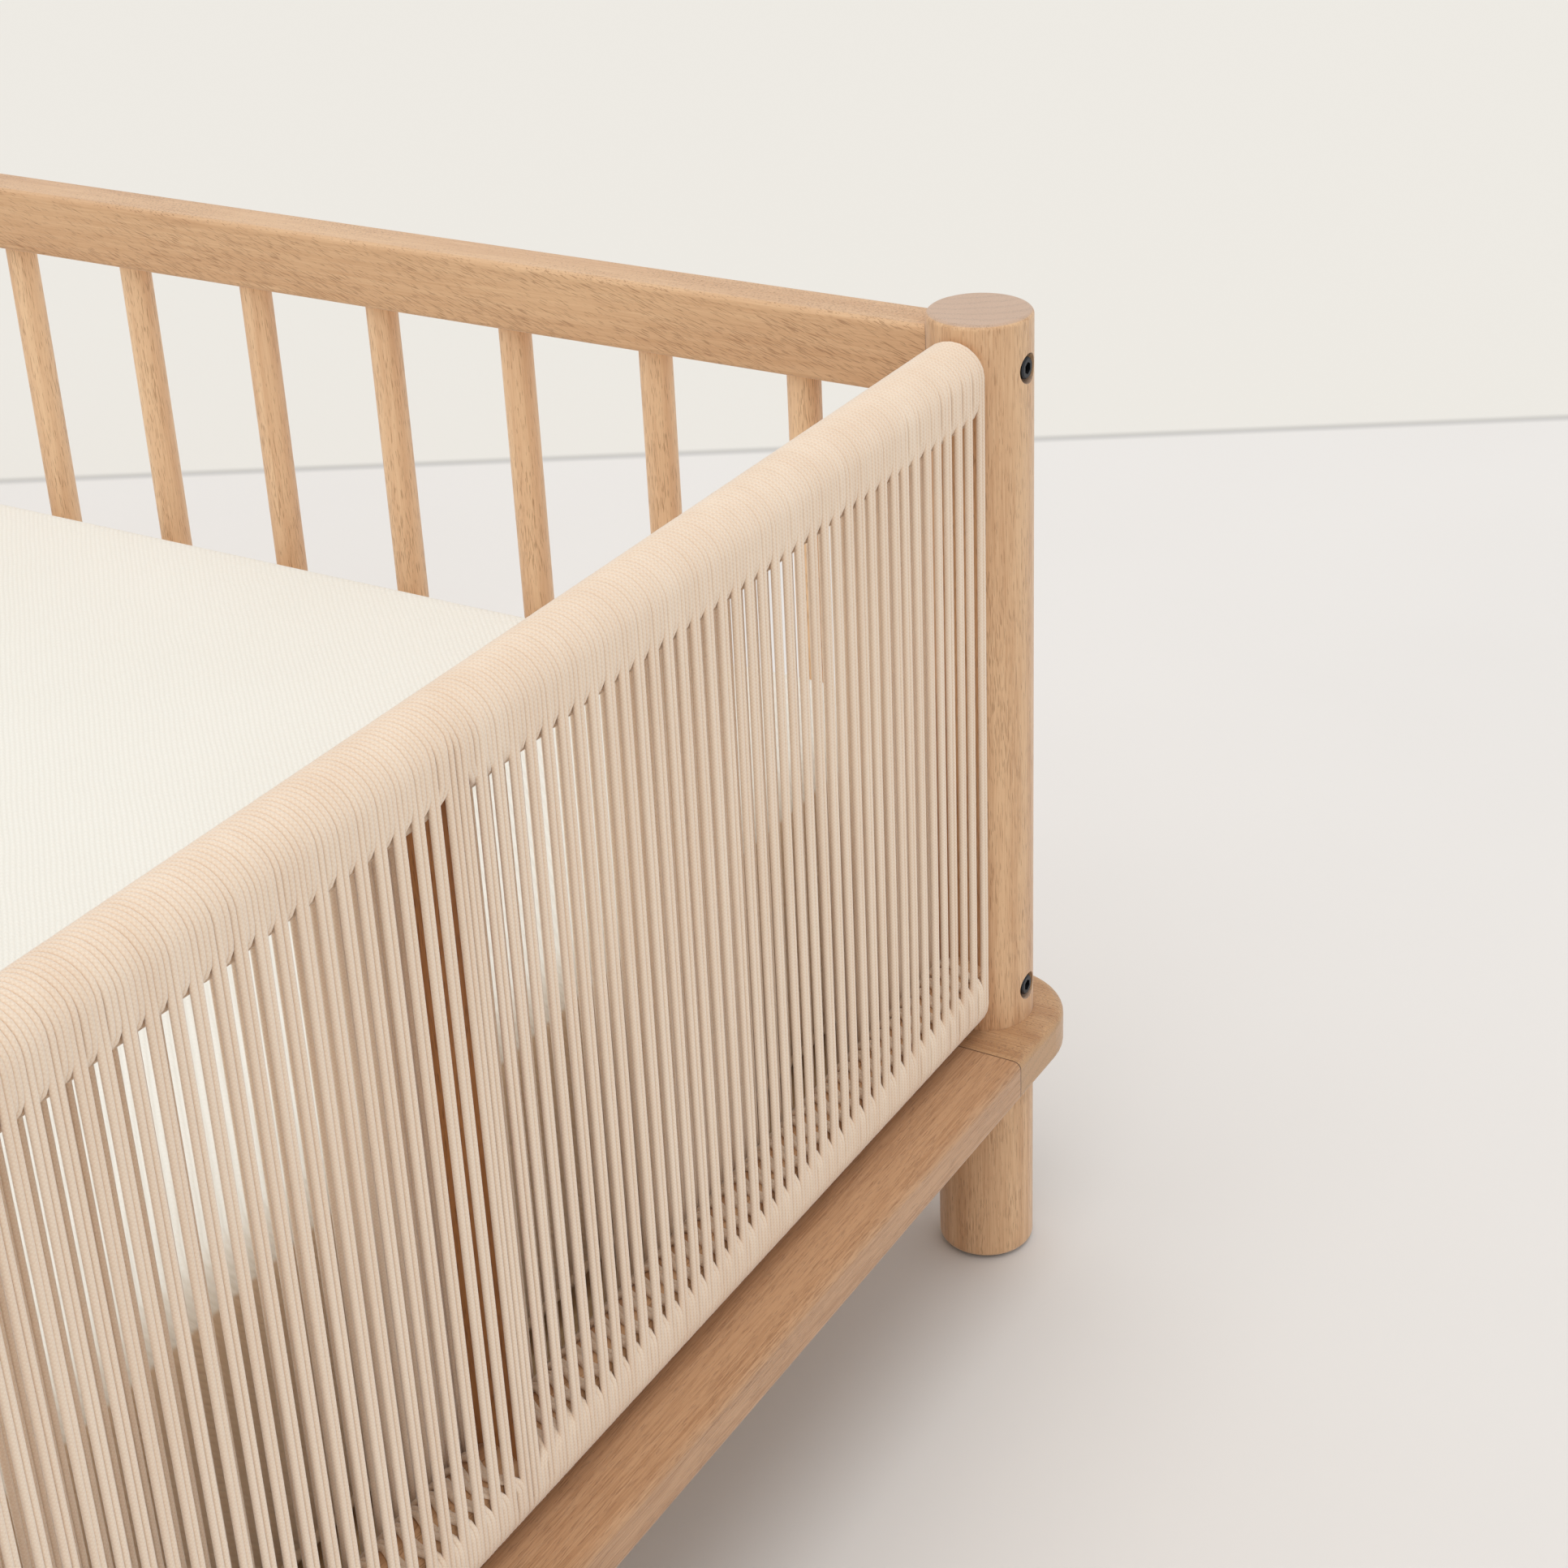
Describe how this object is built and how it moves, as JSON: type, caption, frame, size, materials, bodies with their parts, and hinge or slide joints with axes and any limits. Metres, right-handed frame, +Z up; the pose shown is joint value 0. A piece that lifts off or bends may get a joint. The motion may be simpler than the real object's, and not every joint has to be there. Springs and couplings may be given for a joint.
{
  "type": "baby crib",
  "caption": "Low baby crib with round oak posts, a board base ring, spindle sides, cord-wound ends and a lift-out slat base and mattress.",
  "frame": {"origin": "on the floor at the centre of the footprint", "axes": "+X along the crib, from the left end to the right end; +Y across it, from the front side to the back side; +Z up"},
  "size_m": [1.555, 0.9, 0.502],
  "materials": {
    "oak_posts": "clear matt oil on white oak",
    "oak_rails": "clear matt oil on white oak",
    "oak_ring_long": "clear matt oil on yellower oak",
    "oak_ring_end": "clear matt oil on pinker oak",
    "bar_core_wood": "planed oak under the winding",
    "cotton_cord": "matt braided cotton",
    "black_bolts": "black oxide",
    "zinc_fixings": "bright zinc",
    "beech_dowels": "bare beech",
    "slat_wood": "planed pine",
    "glide_plastic": "matt dark plastic",
    "mattress_foam": "open-cell foam",
    "mattress_knit": "fine off-white knit"
  },
  "bodies": {
    "frame": {"post_front_left": "oak_posts", "post_front_right": "oak_posts", "post_back_left": "oak_posts", "post_back_right": "oak_posts", "foot_glides": "glide_plastic", "long_stretcher_front": "oak_ring_long", "long_stretcher_back": "oak_ring_long", "end_stretcher_left": "oak_ring_end", "end_stretcher_right": "oak_ring_end", "side_top_rail_front": "oak_rails", "side_top_rail_back": "oak_rails", "side_bottom_rail_front": "oak_rails", "side_bottom_rail_back": "oak_rails", "side_spindles_front": "oak_rails", "side_spindles_back": "oak_rails", "end_top_bar_left": "bar_core_wood", "end_top_bar_right": "bar_core_wood", "end_bottom_bar_left": "bar_core_wood", "end_bottom_bar_right": "bar_core_wood", "end_strut_left": "oak_posts", "end_strut_right": "oak_posts", "cord_top_wrap_left": "cotton_cord", "cord_top_wrap_right": "cotton_cord", "cord_bottom_wrap_left": "cotton_cord", "cord_bottom_wrap_right": "cotton_cord", "cord_outer_web_left": "cotton_cord", "cord_outer_web_right": "cotton_cord", "cord_inner_web_left": "cotton_cord", "cord_inner_web_right": "cotton_cord", "side_rail_bolts": "black_bolts", "end_bar_bolts": "black_bolts", "barrel_nuts": "zinc_fixings", "dowel_pins": "beech_dowels", "corner_bolts": "black_bolts", "corner_nuts": "zinc_fixings", "corner_dowels": "beech_dowels"},
    "slat_base": {"base_batten_front": "slat_wood", "base_batten_back": "slat_wood", "base_batten_left": "slat_wood", "base_batten_right": "slat_wood", "slat_01": "slat_wood", "slat_02": "slat_wood", "slat_03": "slat_wood", "slat_04": "slat_wood", "slat_05": "slat_wood", "slat_06": "slat_wood", "slat_07": "slat_wood", "slat_08": "slat_wood", "slat_09": "slat_wood", "slat_10": "slat_wood", "slat_11": "slat_wood", "slat_12": "slat_wood", "slat_screws": "zinc_fixings"},
    "mattress": {"mattress_core": "mattress_foam", "mattress_cover": "mattress_knit", "mattress_base_panel": "mattress_knit"}
  },
  "joints": [
    {"name": "slat_base_lift", "type": "slide", "parent": "frame", "child": "slat_base", "axis": [0, 0, 1], "range_m": [0, 0.38]},
    {"name": "mattress_lift", "type": "slide", "parent": "slat_base", "child": "mattress", "axis": [0, 0, 1], "range_m": [0, 0.36]}
  ]
}
